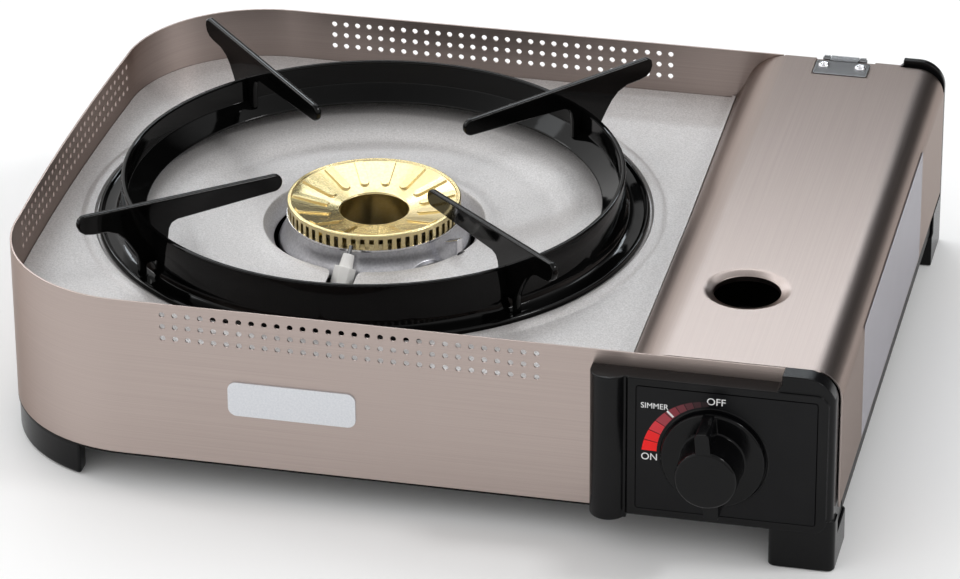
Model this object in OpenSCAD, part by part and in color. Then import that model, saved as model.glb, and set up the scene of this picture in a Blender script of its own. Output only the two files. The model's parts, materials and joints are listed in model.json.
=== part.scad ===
// Portable butane cassette stove with a bent sheet-metal wind band on the left
// and a hinged lid over the canister bay on the right.
// The origin is on the table at the middle of the stove, front at -Y, +Z up.

/* [Body] */
// Width of the sheet body at its widest
body_w = 337; // [334:0.5:340]
// Depth from the front wall to the back wall, outside faces
body_d = 267; // [265:0.5:269]
// Sheet thickness of the band, the lid and the plates
sheet_t = 0.8; // [0.6:0.1:0.9]
// Radius of the two left corners
corner_r = 57; // [50:1:60]
// How far the left wall bows out past its ends
bow = 1.75; // [1:0.25:2.5]
// Height of the bottom edge of the walls
wall_bottom = 14; // [13.5:0.25:14.5]
// Height of the top edge of the walls and of the lid
wall_top = 80.5; // [80:0.25:81]
// Height of the flat top plate
plate_z = 59; // [58.5:0.25:59.5]

/* [Wall perforations] */
// Hole diameter
perf_d = 2.2; // [1.6:0.1:2.6]
// Hole pitch
perf_pitch = 5; // [4.5:0.1:5]
// Columns in each field
perf_cols = 30; // [20:1:30]
// Rows in each field
perf_rows = 3; // [1:1:3]
// Height of the top row
perf_top = 76; // [74:0.5:77]

/* [Burner] */
// Burner centre, left to right
burner_x = -42; // [-44:0.5:-40]
// Burner centre, front to back
burner_y = 11.75; // [10:0.25:14]
// Radius of the brass cap
cap_r = 34.8; // [33:0.1:36]
// Radius of the centre hole in the cap
cap_hole_r = 13.8; // [12:0.2:15]
// Ribs pressed into the cap
cap_ribs = 15; // [12:1:20]
// Flame ports round the cap
cap_ports = 60; // [48:2:64]
// Radius of the air opening in the top plate, at the rim of its funnel
well_hole_r = 44.7; // [44:0.1:46]

/* [Trivet] */
// Outer radius of the ring's flange
ring_r = 110.5; // [109:0.5:111]
// Height of the ring's crest
ring_top = 78.2; // [76:0.2:79]
// Thickness of a support arm
arm_t = 2.6; // [2:0.1:3]
// Height of the arms at their outer end
arm_top = 93; // [92:0.5:94]
// Height of the arms at their inner end
arm_top_inner = 87.5; // [87:0.5:89]

/* [Lid and canister bay] */
// Left edge of the lid at the top plate
lid_left = 83.1; // [82.9:0.05:83.5]
// Radius of the lid's right corner
lid_corner_r = 11.5; // [10:0.5:12]
// Bottom edge of the lid's side wall
lid_side_bottom = 23.5; // [23:0.5:30]
// Radius of the finger hole
finger_r = 12.9; // [11:0.1:14]
// Axis of the canister and of the knob, left to right
can_x = 122.3; // [121:0.1:124]
// Height of the canister's and the knob's axis
can_z = 44.3; // [44:0.1:45]

/* [Control panel and knob] */
// Left edge of the panel
panel_left = 74.5; // [73:0.5:76]
// How far the panel's face stands out from the front wall
panel_proud = 8.5; // [8:0.25:9]
// Top edge of the panel
panel_top = 74.8; // [74:0.2:75]
// Bottom edge of the panel
panel_bottom = 16.3; // [16:0.1:17]
// Radius of the knob's disc
knob_r = 19.7; // [19:0.1:20.5]
// Radius of the knob's grip
grip_r = 11.7; // [11:0.1:13]
// How far the grip's face stands out from the panel's face
grip_proud = 18; // [17:0.5:20]
// Knob turn from OFF to ON in degrees
knob_turn = 88; // [80:1:90]

/* [Hinge] */
// Hinge pin radius
pin_r = 0.8; // [0.7:0.05:0.9]
// Running clearance of the hinge pin and the spindle, on the radius
running_gap = 0.05; // [0.02:0.01:0.08]
// Thickness of the rear corner cap behind the back wall
cap_t = 3; // [3:0.25:3.5]

/* [Hidden] */

// Colours
steel = [0.74, 0.70, 0.66];
plate_grey = [0.66, 0.66, 0.66];
bright_steel = [0.80, 0.80, 0.80];
dark_steel = [0.35, 0.35, 0.36];
black = [0.07, 0.07, 0.07];
enamel = [0.03, 0.03, 0.03];
brass = [0.85, 0.72, 0.42];
alloy = [0.62, 0.62, 0.62];
ceramic = [0.95, 0.94, 0.91];
rubber = [0.10, 0.10, 0.10];
label_grey = [0.70, 0.72, 0.75];

// Overall places
right_x = body_w / 2;
left_x = -body_w / 2 + bow;
knob_reach = panel_proud + grip_proud;
front_y = -(knob_reach + body_d + cap_t) / 2 + knob_reach;
back_y = front_y + body_d;
mid_y = (front_y + back_y) / 2;
bow_half = 75;
bow_r = (bow_half * bow_half + bow * bow) / (2 * bow);
band_right = 160;
fine = 180;

// ---------------------------------------------------------------- shared shapes

// Plan of the body: square right end, two round left corners and a bowed left wall.
module body_outline(inset, right) {
  corner_x = left_x + corner_r;
  translate([corner_x, front_y + inset]) square([right - corner_x, body_d - 2 * inset]);
  translate([left_x + inset, front_y + corner_r]) square([corner_r, body_d - 2 * corner_r]);
  for (y = [front_y + corner_r, back_y - corner_r])
    translate([corner_x, y]) circle(r = corner_r - inset, $fn = fine);
  intersection() {
    translate([left_x - bow + bow_r, mid_y]) circle(r = bow_r - inset, $fn = 720);
    translate([left_x - 5, mid_y - bow_half - 8]) square([40, 2 * bow_half + 16]);
  }
}

// Rectangle with round corners, from its lower left corner.
module round_rect(size, r) {
  translate([r, 0]) square([size[0] - 2 * r, size[1]]);
  translate([0, r]) square([size[0], size[1] - 2 * r]);
  for (x = [r, size[0] - r], y = [r, size[1] - r]) translate([x, y]) circle(r = r, $fn = 48);
}

// Extrude a plan drawn in X and Z from y_front to y_back.
module along_y(y_front, y_back) {
  translate([0, y_back, 0]) rotate([90, 0, 0]) linear_extrude(y_back - y_front) children();
}

// Extrude a section drawn in Y and Z from x_left to x_right.
module along_x(x_left, x_right) {
  translate([x_left, 0, 0]) rotate([90, 0, 90]) linear_extrude(x_right - x_left) children();
}

// Cylinder along Y from y_front to y_back.
module rod_y(x, z, r, y_front, y_back) {
  translate([x, y_front, z]) rotate([-90, 0, 0]) cylinder(r = r, h = y_back - y_front, $fn = 64);
}

// Cylinder along X from x_left to x_right.
module rod_x(y, z, r, x_left, x_right) {
  translate([x_left, y, z]) rotate([0, 90, 0]) cylinder(r = r, h = x_right - x_left, $fn = 64);
}

// Upright cylinder.
module rod_z(x, y, r, z_low, z_high) {
  translate([x, y, z_low]) cylinder(r = r, h = z_high - z_low, $fn = 64);
}

module at_burner() {
  translate([burner_x, burner_y, 0]) children();
}

// ---------------------------------------------------------------- body

low_wall_top = 76;
low_wall_from = lid_left + 18;
perf_x = -19.25;
perf_y = mid_y + 1;

module wind_band() {
  color(steel) difference() {
    translate([0, 0, wall_bottom]) linear_extrude(wall_top - wall_bottom) difference() {
      body_outline(0, band_right);
      body_outline(sheet_t, band_right + 1);
    }
    // the back wall is lower behind the lid
    translate([low_wall_from, back_y - 10, low_wall_top]) cube([100, 20, 20]);
    // one drill line pierces the front and the back wall
    for (col = [0 : perf_cols - 1], row = [0 : perf_rows - 1]) {
      offset_along = (col - (perf_cols - 1) / 2) * perf_pitch;
      height = perf_top - row * perf_pitch;
      translate([perf_x + offset_along, front_y - 5, height])
        rotate([-90, 0, 0]) cylinder(d = perf_d, h = body_d + 10, $fn = 24);
      translate([left_x - 5, perf_y + offset_along, height])
        rotate([0, 90, 0]) cylinder(d = perf_d, h = 20, $fn = 24);
    }
    // spindle and panel screws pass the front wall
    rod_y(can_x, can_z, 6, front_y - 1, front_y + 2);
    for (x = panel_screw_x) rod_y(x, panel_screw_z, 1.6, front_y - 1, front_y + 2);
  }
}

// Well of the top plate, top surface as radius and height from the burner axis.
seat_z = 58.6;
funnel_r = 40.6;
well_top = [[funnel_r, 48.6], [42.4, 51.4], [43.9, 53.9], [well_hole_r, 54.6], [46, 54.6], [48, 54],
            [53, 53.5], [60, 53.6], [62, 53.9], [70, 54.2], [74, 54.9], [79, 56.1], [84, 56.7],
            [92, 57.0], [98, 57.3], [103, seat_z], [ring_r + 0.7, seat_z], [112, 60.0],
            [114.5, 60.2], [116.6, 59.3], [118, plate_z]];
plate_right = 80.5;
bead_right = 82.9;
bead_w = 1.5;
flare = 1.6;
flare_from = 25;
flare_tilt = 61;
notch_w = 11;
notch_fillet = 4;
notch_x = burner_x - 1.3;
tab_angle = -27;

// Plan of the notch, round where it meets the rim of the opening
module notch_plan() {
  translate([-notch_w / 2, -9]) square([notch_w, 16]);
  difference() {
    translate([-notch_w / 2 - notch_fillet, 1 - notch_fillet])
      square([notch_w + 2 * notch_fillet, notch_fillet + 4]);
    for (side = [-1, 1]) translate([side * (notch_w / 2 + notch_fillet), 1 - notch_fillet])
      circle(r = notch_fillet, $fn = 48);
  }
}

// Plan of a strip along the plate's right edge
module plate_edge(width) {
  y_front = front_y + sheet_t + 0.4;
  y_back = back_y - sheet_t - 0.4;
  polygon([[bead_right - width, y_front], [bead_right, y_front], [bead_right, flare_from],
           [bead_right - flare, y_back], [bead_right - flare - width, y_back],
           [bead_right - width, flare_from]]);
}

module top_plate() {
  color(plate_grey) difference() {
    union() {
      difference() {
        translate([0, 0, plate_z - sheet_t]) linear_extrude(sheet_t)
          body_outline(sheet_t + 0.15, plate_right);
        at_burner() rod_z(0, 0, 117, 0, 100);
      }
      at_burner() rotate_extrude($fn = fine) polygon(concat(
        well_top, [for (i = [len(well_top) - 1 : -1 : 0]) well_top[i] - [0, sheet_t]]));
      // upturned edge beside the lid; it gives way to the lid's flare at the back
      translate([0, 0, plate_z - sheet_t]) linear_extrude(sheet_t) plate_edge(bead_right - plate_right + 1);
      translate([0, 0, plate_z]) linear_extrude(1) plate_edge(bead_w);
    }
    // notch in the rim of the air opening for the electrode
    translate([notch_x, burner_y - well_hole_r, 40]) linear_extrude(30) notch_plan();
    // slot for the retaining tab
    at_burner() rotate(tab_angle) translate([funnel_r - 1, -2.2, 40]) cube([6, 4.4, 30]);
  }
}

// Hooked tab that ties the top plate to the burner's stand
module plate_tab() {
  color(bright_steel) at_burner() rotate(tab_angle) rotate([90, 0, 0])
    translate([0, 0, -1.6]) linear_extrude(3.2)
      polygon([[43.6, 47], [44.8, 47], [44.8, 60.8], [38, 57.9], [38, 56.7], [43.6, 59.2]]);
}

pan_z = 13.2;
pan_right = 167.2;
bay_floor = 10.6;
trough = [89, -64, 158.5, 138];

module base_pan() {
  color(black) {
    difference() {
      translate([0, 0, pan_z]) linear_extrude(wall_bottom - pan_z) body_outline(0, pan_right);
      translate([trough[0], trough[1], 0]) cube([trough[2] - trough[0], trough[3] - trough[1], 50]);
      for (p = base_screw_at) rod_z(p[0], p[1], 1.5, pan_z - 1, wall_bottom + 1);
    }
    // upturned flange inside the lid's side wall
    translate([pan_right - sheet_t, front_y + 16, pan_z]) cube([sheet_t, body_d - 30, 26]);
  }
}

// Trough under the canister: a floor and four sides, parted by hairline seams
module canister_tray() {
  seam = 0.04;
  side_h = pan_z - bay_floor - seam;
  w = trough[2] - trough[0];
  d = trough[3] - trough[1];
  color(black) translate([trough[0], trough[1], bay_floor]) {
    translate([-sheet_t, -sheet_t, -sheet_t]) cube([w + 2 * sheet_t, d + 2 * sheet_t, sheet_t]);
    for (x = [-sheet_t, w]) translate([x, -sheet_t, seam]) cube([sheet_t, d + 2 * sheet_t, side_h]);
    for (y = [-sheet_t, d]) translate([seam, y, seam]) cube([w - 2 * seam, sheet_t, side_h]);
  }
}

divider_x = plate_right - sheet_t;
pipe_y = -90;
pipe_z = 40;

module bay_divider() {
  color(dark_steel) difference() {
    translate([divider_x, front_y + sheet_t, wall_bottom])
      cube([sheet_t, body_d - 2 * sheet_t, plate_z - sheet_t - wall_bottom]);
    rod_x(pipe_y, pipe_z, 5, divider_x - 1, divider_x + 2);
    rod_x(wire_route[2][1], wire_route[2][2], 3, divider_x - 1, divider_x + 2);
    translate([divider_x - 1, heat_y - heat_w / 2 - 1, strip_z - 1]) cube([3, heat_w + 2, heat_t + 2]);
  }
}

// Aluminium strip that carries burner heat to the canister's lower left side
heat_w = 24;
heat_t = 1.2;
heat_y = burner_y;
strip_z = 27.2;
cradle_r = 34;

module heat_panel() {
  join_angle = asin((can_z - strip_z - heat_t / 2) / (cradle_r + heat_t / 2));
  join_x = can_x - (cradle_r + heat_t / 2) * cos(join_angle);
  color(alloy) difference() {
    union() {
      translate([burner_x - 12, heat_y - heat_w / 2, strip_z])
        cube([join_x - burner_x + 12, heat_w, heat_t]);
      along_y(heat_y - heat_w / 2, heat_y + heat_w / 2) translate([can_x, can_z])
        rotate(192) intersection() {
          difference() {
            circle(r = cradle_r + heat_t, $fn = fine);
            circle(r = cradle_r, $fn = fine);
          }
          polygon([[0, 0], [60, 0], [60 * cos(42), 60 * sin(42)]]);
        }
    }
    for (dx = burner_screw_dx) rod_z(burner_x + dx, burner_y, 1.6, 20, 32);
  }
}

// ---------------------------------------------------------------- black plastic

panel_face = front_y - panel_proud;
column_r = 7.25;
column_proud = 11;
panel_wall = 2.5;
face_plate = [92.8, 19.6, 160.8, 71.6];
face_plate_r = 1;
face_r = 5;
face_step = 1;
face_right = 164.9;
corner_piece_x = 147;
corner_piece_top = wall_top + 0.8;
panel_screw_x = [84, 160];
panel_screw_z = 30;
hinge_y = back_y + cap_t / 2;
hinge_z = 79.6;
panel_right = right_x - 1.2;

// Front view of the panel with its raised right corner; the lid's side wall passes outside it
module panel_front_view() {
  corner_z = corner_piece_top - lid_corner_r;
  translate([panel_left, panel_bottom]) square([panel_right - panel_left, corner_z - panel_bottom]);
  translate([panel_left, wall_bottom]) square([2 * column_r, 10]);
  translate([panel_left, corner_z]) square([corner_piece_x + 5 - panel_left, panel_top - corner_z]);
  translate([corner_piece_x, corner_z])
    square([panel_right - lid_corner_r - corner_piece_x, lid_corner_r]);
  translate([panel_right - lid_corner_r, corner_z]) circle(r = lid_corner_r, $fn = fine);
}

// Front view of the raised flat face, round at its right corners
module panel_face_view() {
  face_left = panel_left + 2 * column_r;
  translate([face_left, panel_bottom]) square([face_right - face_r - face_left, panel_top - panel_bottom]);
  translate([face_right - 2 * face_r, panel_bottom + face_r])
    square([2 * face_r, panel_top - panel_bottom - 2 * face_r]);
  for (z = [panel_bottom + face_r, panel_top - face_r])
    translate([face_right - face_r, z]) circle(r = face_r, $fn = 96);
}

// Plan of the panel: a half-round column at the left, then the wall behind the raised face
module panel_plan(depth) {
  column_x = panel_left + column_r;
  edge_r = 3;
  translate([column_x, front_y - column_proud + column_r]) circle(r = column_r, $fn = 96);
  translate([panel_left, front_y - column_proud + column_r])
    square([2 * column_r, column_proud - column_r]);
  translate([column_x, panel_face + face_step])
    square([panel_right - column_x - edge_r, depth - face_step]);
  translate([panel_right - edge_r - 1, panel_face + face_step + edge_r])
    square([edge_r + 1, depth - face_step - edge_r]);
  translate([panel_right - edge_r, panel_face + face_step + edge_r]) circle(r = edge_r, $fn = 48);
}

foot_x = 143;
foot_back = -101;

module front_panel() {
  color(black) difference() {
    union() {
      intersection() {
        along_y(panel_face - 10, front_y) panel_front_view();
        linear_extrude(200) panel_plan(panel_proud);
      }
      // raised flat face
      along_y(panel_face, panel_face + 2) panel_face_view();
      // foot, in front of the wall and on under the pan
      intersection() {
        linear_extrude(panel_bottom + face_r) translate([foot_x, panel_face + face_step])
          round_rect([right_x - 0.25 - foot_x, foot_back - panel_face - face_step], 3);
        union() {
          translate([foot_x, panel_face, 0]) cube([40, foot_back - panel_face, pan_z]);
          translate([foot_x, panel_face, 0]) cube([40, panel_proud, panel_bottom]);
          translate([foot_x + 10, panel_face, 0]) cube([40, panel_proud, panel_bottom + face_r]);
        }
      }
      // wing that closes the corner inside the lid's side wall
      translate([panel_right - 2.5, front_y - 0.5, wall_bottom]) cube([2.5, 14, 52]);
    }
    // hollow behind the face
    along_y(panel_face + panel_wall, front_y + 1)
      translate([panel_left + 2 * column_r + 2, panel_bottom + panel_wall])
        square([panel_right - panel_left - 2 * column_r - 5, panel_top - panel_bottom - 2 * panel_wall]);
    // recess for the printed sheet
    along_y(panel_face - 1, panel_face + 0.3) translate([face_plate[0], face_plate[1]])
      round_rect([face_plate[2] - face_plate[0], face_plate[3] - face_plate[1]], face_plate_r);
    // groove between the column and the face
    translate([panel_left + 2 * column_r - 0.4, panel_face - 3, 0]) cube([0.8, 3.8, 100]);
    rod_y(can_x, can_z, 5, panel_face - 5, front_y + 1);
    rod_y(panel_screw_x[0], panel_screw_z, 1.2, front_y - 6, front_y + 1);
  }
  // screw boss inside the hollow
  color(black) difference() {
    rod_y(panel_screw_x[1], panel_screw_z, 3.2, panel_face + panel_wall, front_y);
    rod_y(panel_screw_x[1], panel_screw_z, 1.2, front_y - 5, front_y + 1);
  }
}

// Thin printed sheet round the knob
module dial_plate() {
  color(dark_steel) difference() {
    along_y(panel_face + 0.05, panel_face + 0.3) translate([face_plate[0] + 0.1, face_plate[1] + 0.1])
      round_rect([face_plate[2] - face_plate[0] - 0.2, face_plate[3] - face_plate[1] - 0.2],
                 face_plate_r - 0.1);
    rod_y(can_x, can_z, 5, panel_face - 5, front_y);
  }
}

rear_cap_x = 151;
rear_cap_top = 82.6;
rear_cap_r = 11;
rear_foot_x = 161.5;
rear_foot_front = 123;

module rear_cap() {
  color(black) {
    along_y(back_y, back_y + cap_t) {
      translate([rear_cap_x, 60]) square([right_x - rear_cap_x - rear_cap_r, rear_cap_top - 60]);
      translate([right_x - rear_cap_r, rear_cap_top - rear_cap_r]) circle(r = rear_cap_r, $fn = 96);
      translate([rear_foot_x, 0]) square([right_x - rear_foot_x, rear_cap_top - rear_cap_r]);
    }
    // shelf under the rear edge of the lid
    along_y(back_y - 4.2, back_y) {
      translate([rear_cap_x + 1, 77]) square([right_x - 13 - rear_cap_x, 1.5]);
      intersection() {
        translate([right_x - lid_corner_r, wall_top - lid_corner_r])
          circle(r = lid_corner_r - 2, $fn = 96);
        translate([band_right + 0.2, wall_top - lid_corner_r]) square([20, 20]);
      }
      translate([right_x - 6, 40]) square([4, wall_top - lid_corner_r - 40]);
    }
    // foot
    translate([rear_foot_x, rear_foot_front, 0])
      cube([right_x - rear_foot_x, back_y - rear_foot_front, pan_z]);
    translate([pan_right, rear_foot_front + 4, 0])
      cube([right_x - pan_right, back_y - rear_foot_front - 4, 22]);
  }
}

foot_wall = 7;
foot_end_x = -128;
foot_end_y = -79;

// Curved foot under a left corner
module corner_foot() {
  color(black) intersection() {
    linear_extrude(pan_z) difference() {
      body_outline(0.6, 0);
      body_outline(0.6 + foot_wall, 1);
    }
    translate([-200, front_y - 5, -1]) cube([200 + foot_end_x, foot_end_y - front_y + 5, 50]);
  }
}

module foot_front_left() {
  corner_foot();
}

module foot_rear_left() {
  translate([0, 2 * mid_y, 0]) mirror([0, 1, 0]) corner_foot();
}

badge = [-66.7, 36, -16.7, 50.4];

module badge_plate() {
  color(bright_steel) along_y(front_y - 0.7, front_y) translate([badge[0], badge[1]])
    round_rect([badge[2] - badge[0], badge[3] - badge[1]], 3.4);
}

// Pan-head screw, head at the origin side, shank along +Z
module screw(head_r, head_h, shank_r, length) {
  difference() {
    union() {
      cylinder(r = head_r, h = head_h, $fn = 48);
      cylinder(r = shank_r, h = head_h + length, $fn = 48);
    }
    for (a = [0, 90]) rotate(a) translate([-head_r * 0.6, -0.35, -1]) cube([head_r * 1.2, 0.7, 1.6]);
  }
}

module panel_screws() {
  color(bright_steel) for (x = panel_screw_x)
    translate([x, front_y + sheet_t + 1.4, panel_screw_z]) rotate([90, 0, 0])
      screw(2.8, 1.4, 1.2, 5);
}

base_screw_at = [[-100, -97], [-100, 120], [40, -107], [40, 131]];

module base_screws() {
  color(bright_steel) for (p = base_screw_at)
    translate([p[0], p[1], pan_z - 1.4]) screw(3, 1.4, 1.5, 5);
}

// ---------------------------------------------------------------- burner and gas path

burner_bottom = strip_z + heat_t;
burner_screw_dx = [-8, 8];
body_top = 58.2;
ring_t = 1;
tube_z = 40;
nozzle_at = [58, -82];
tube_angle = atan2(burner_y - nozzle_at[1], burner_x - nozzle_at[0]);
tube_run = norm([burner_x - nozzle_at[0], burner_y - nozzle_at[1]]);
tube_r = 9.5;

// Puts a shape drawn along +Z onto the line from the nozzle to the burner
module along_tube() {
  translate([nozzle_at[0], nozzle_at[1], tube_z]) rotate([0, 0, tube_angle]) rotate([0, 90, 0])
    children();
}

module burner_stand() {
  color(dark_steel) difference() {
    union() {
      translate([burner_x - 12, burner_y - 34, strip_z - 1.2]) cube([24, 68, 1.2]);
      for (side = [-1, 1]) {
        translate([burner_x - 12, burner_y + side * 33.4 - 0.6, wall_bottom])
          cube([24, 1.2, strip_z - wall_bottom]);
        translate([burner_x - 12, burner_y + side * 38 - 5, wall_bottom]) cube([24, 10, 1.2]);
      }
    }
    for (dx = burner_screw_dx) rod_z(burner_x + dx, burner_y, 1.6, 20, 32);
  }
}

module burner_body() {
  color(alloy) difference() {
    union() {
      at_burner() rotate_extrude($fn = fine)
        polygon([[0, burner_bottom], [22, burner_bottom], [27, 31], [30, 41], [37.2, 44.8], [38.6, 46],
                 [38.8, 47.4], [38.2, 48.9], [37.2, 50.6], [36.2, 52.6], [35.3, 54.8], [34.8, 56.8],
                 [34.6, body_top], [30, body_top], [30, 54], [33.4, 48.6], [26, 42], [23, 33], [0, 33]]);
      // inlet boss for the mixing tube
      intersection() {
        along_tube() translate([0, 0, tube_run - 40]) cylinder(r = tube_r + 2.2, h = 18, $fn = 96);
        at_burner() difference() {
          rod_z(0, 0, 39, 20, 60);
          rod_z(0, 0, 24, 20, 60);
        }
      }
    }
    along_tube() translate([0, 0, tube_run - 60]) cylinder(r = tube_r, h = 42, $fn = 96);
    for (dx = burner_screw_dx) rod_z(burner_x + dx, burner_y, 1.2, 20, 32.4);
  }
}

module burner_ring() {
  color(bright_steel) at_burner() difference() {
    rod_z(0, 0, 35.2, body_top, body_top + ring_t);
    rod_z(0, 0, 30, body_top - 1, body_top + ring_t + 1);
  }
}

cap_bottom = body_top + ring_t;
cap_top = 65.3;
cap_rib_turn = -77;

cap_tube_bottom = 44.5;
cap_slope_in = 14.4;
cap_slope_out = 33.1;
cap_low = 60;
cap_high = 64.75;
port_w = 1.75;
rib_w = 3.6;
rib_in = 20;
rib_out = 32.4;

module burner_cap() {
  color(brass) at_burner() {
    difference() {
      rotate_extrude($fn = fine)
        polygon([[cap_hole_r, cap_tube_bottom], [cap_hole_r, cap_low - 0.5], [cap_slope_in, cap_low],
                 [cap_slope_out, cap_high], [cap_slope_out + 0.2, cap_top], [cap_r - 0.3, cap_top],
                 [cap_r, cap_top - 0.3], [cap_r, cap_bottom], [cap_r - 1.6, cap_bottom],
                 [cap_r - 1.6, cap_top - 1.8], [31, cap_top - 2.6], [cap_hole_r + 1.2, cap_low - 1.6],
                 [cap_hole_r + 1.2, cap_tube_bottom]]);
      // flame ports cut up from the lower edge
      for (i = [0 : cap_ports - 1]) rotate(i * 360 / cap_ports)
        translate([cap_r - 3, -port_w / 2, cap_bottom - 1])
          cube([6, port_w, cap_top - 1.8 - cap_bottom + 1]);
    }
    // pressed ribs with round ends
    for (i = [0 : cap_ribs - 1]) rotate(cap_rib_turn + i * 360 / cap_ribs) intersection() {
      translate([0, 0, 59]) linear_extrude(8) {
        translate([rib_in, -rib_w / 2]) square([rib_out - rib_in, rib_w]);
        translate([rib_in, 0]) circle(r = rib_w / 2, $fn = 32);
      }
      rotate([90, 0, 0]) translate([0, 0, -3]) linear_extrude(6)
        polygon([[18, 60.6], [34, 64.6], [33.4, 65.5], [18, 61.7]]);
    }
  }
}

module burner_screws() {
  color(bright_steel) for (dx = burner_screw_dx)
    translate([burner_x + dx, burner_y, strip_z - 1.2 - 1.6]) screw(2.8, 1.6, 1.2, 6);
}

module mixing_tube() {
  tube_end = tube_run - 18;
  color(alloy) along_tube() rotate_extrude($fn = fine)
    polygon([[11.5, 6], [12.5, 6], [12.5, 9], [8.2, 20], [8.2, 34], [tube_r, 48], [tube_r, tube_end],
             [tube_r - 1.2, tube_end], [tube_r - 1.2, 48], [7, 34], [7, 20], [11.5, 9]]);
}

module nozzle_holder() {
  color(brass) difference() {
    union() {
      along_tube() translate([0, 0, -9]) cylinder(r = 5.5, h = 9, $fn = 64);
      rod_x(pipe_y, pipe_z, 4.5, 60, 70);
      translate([nozzle_at[0] - 1, pipe_y - 5, pipe_z - 5]) cube([10, 10, 10]);
    }
    along_tube() translate([0, 0, -4]) cylinder(r = 2, h = 10, $fn = 48);
    rod_x(pipe_y, pipe_z, 2.5, 62, 71);
  }
}

module nozzle() {
  color(brass) along_tube() difference() {
    union() {
      translate([0, 0, -4]) cylinder(r = 2, h = 4, $fn = 48);
      cylinder(r = 3.4, h = 3, $fn = 6);
      translate([0, 0, 3]) cylinder(r1 = 2, r2 = 1, h = 2.4, $fn = 48);
    }
    translate([0, 0, -5]) cylinder(r = 0.3, h = 12, $fn = 24);
  }
}

outlet_x = 102;

module gas_pipe() {
  color(bright_steel) difference() {
    rod_x(pipe_y, pipe_z, 2.5, 62, outlet_x);
    rod_x(pipe_y, pipe_z, 1.7, 61, outlet_x + 1);
  }
}

// ---------------------------------------------------------------- regulator and canister seat

bracket_y = -100;
bracket_t = 1.2;
reg_r = 15;
reg_back = -76;
governor_y = -88;
governor_r = 11.5;
seat_y = -68;
seat_r = 21;
spindle_r = 3;
chamber_front = -92;

module regulator_bracket() {
  color(dark_steel) difference() {
    union() {
      along_y(bracket_y - bracket_t, bracket_y) translate([92, wall_bottom]) round_rect([64, 58], 4);
      translate([96, bracket_y - bracket_t, wall_bottom]) cube([56, 13, bracket_t]);
    }
    rod_y(can_x, can_z, 6, bracket_y - 3, bracket_y + 1);
    for (dx = [-11, 11]) rod_y(can_x + dx, can_z + 14, 1.6, bracket_y - 3, bracket_y + 1);
  }
}

module regulator_body() {
  color(alloy) difference() {
    union() {
      rod_y(can_x, can_z, reg_r, bracket_y, reg_back);
      translate([can_x - 15, bracket_y, can_z + 8]) cube([30, 8, 11]);
      rod_z(can_x, governor_y, governor_r, 27, can_z);
      rod_x(pipe_y, pipe_z, 5, outlet_x - 4, can_x);
    }
    rod_y(can_x, can_z, spindle_r + running_gap, bracket_y - 1, chamber_front + 1);
    rod_y(can_x, can_z, 7, chamber_front, chamber_front + 10);
    rod_y(can_x, can_z, 2, chamber_front + 9, reg_back + 1);
    rod_x(pipe_y, pipe_z, 2.5, outlet_x - 6, outlet_x);
    rod_x(pipe_y, pipe_z, 1.7, outlet_x - 1, can_x);
    for (dx = [-11, 11]) rod_y(can_x + dx, can_z + 14, 1.2, bracket_y - 1, bracket_y + 6);
  }
}

module regulator_cover() {
  color(bright_steel) difference() {
    union() {
      rod_z(can_x, governor_y, governor_r, 25.4, 27);
      rod_z(can_x, governor_y, 9, 21.5, 26);
    }
    rod_z(can_x, governor_y, 1, 21, 23);
  }
}

module regulator_screws() {
  color(bright_steel) for (dx = [-11, 11])
    translate([can_x + dx, bracket_y - bracket_t - 1.5, can_z + 14]) rotate([-90, 0, 0])
      screw(2.8, 1.5, 1.2, 6);
}

magnet_dx = 14;
release_z = can_z - 14.5;

module canister_collar() {
  color(dark_steel) difference() {
    rod_y(can_x, can_z, seat_r, reg_back, seat_y);
    rod_y(can_x, can_z, 9.5, seat_y - 5, seat_y + 1);
    rod_y(can_x, can_z, 3.4, reg_back - 1, seat_y);
    for (side = [-1, 1]) rod_y(can_x + side * magnet_dx, can_z, 4, seat_y - 5, seat_y + 1);
    rod_y(can_x, release_z, 1.5 + running_gap, reg_back - 1, seat_y + 1);
  }
}

module collar_magnets() {
  color(dark_steel) for (side = [-1, 1])
    rod_y(can_x + side * magnet_dx, can_z, 4, seat_y - 5, seat_y);
}

module seal_ring() {
  color(rubber) translate([can_x, seat_y - 5, can_z]) rotate([-90, 0, 0])
    rotate_extrude($fn = 96) translate([6, 1.2]) circle(r = 1.2, $fn = 32);
}

module canister_guide() {
  color(black) difference() {
    translate([can_x - 4, reg_back, can_z + seat_r - 3]) cube([8, 20, 7]);
    rod_y(can_x, can_z, seat_r, reg_back - 1, seat_y);
    // the rim of the canister's seat stays free in front of the collar
    rod_y(can_x, can_z, seat_r + 0.4, seat_y, seat_y + 30);
  }
}

module release_pin() {
  color(bright_steel) rod_y(can_x, release_z, 1.5, reg_back + 0.3, seat_y);
}

module valve_needle() {
  color(brass) {
    rod_y(can_x, can_z, 5, chamber_front + 3.3, chamber_front + 5);
    rod_y(can_x, can_z, 1.2, chamber_front + 4, reg_back + 2);
  }
}

// ---------------------------------------------------------------- ignition

cam_front = -115;
cam_back = -109;
cam_r = 9;
cam_rise = 6;
cam_steps = 24;
cam_gap = 0.3;
plunger_r = 2.5;
plunger_y = (cam_front + cam_back) / 2;
housing_right = 104;

// Spiral cam: the radius grows evenly over the knob's turn, then drops at the spark
module cam() {
  color(black) difference() {
    along_y(cam_front, cam_back) translate([can_x, can_z]) union() {
      circle(r = cam_r, $fn = 96);
      polygon(concat([[0, 0]], [for (i = [0 : cam_steps]) let (turn = knob_turn * i / cam_steps)
        (cam_r + cam_rise * turn / knob_turn) * [cos(180 - turn), sin(180 - turn)]]));
    }
    rod_y(can_x, can_z, spindle_r, cam_front - 1, cam_back + 1);
  }
}

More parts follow.
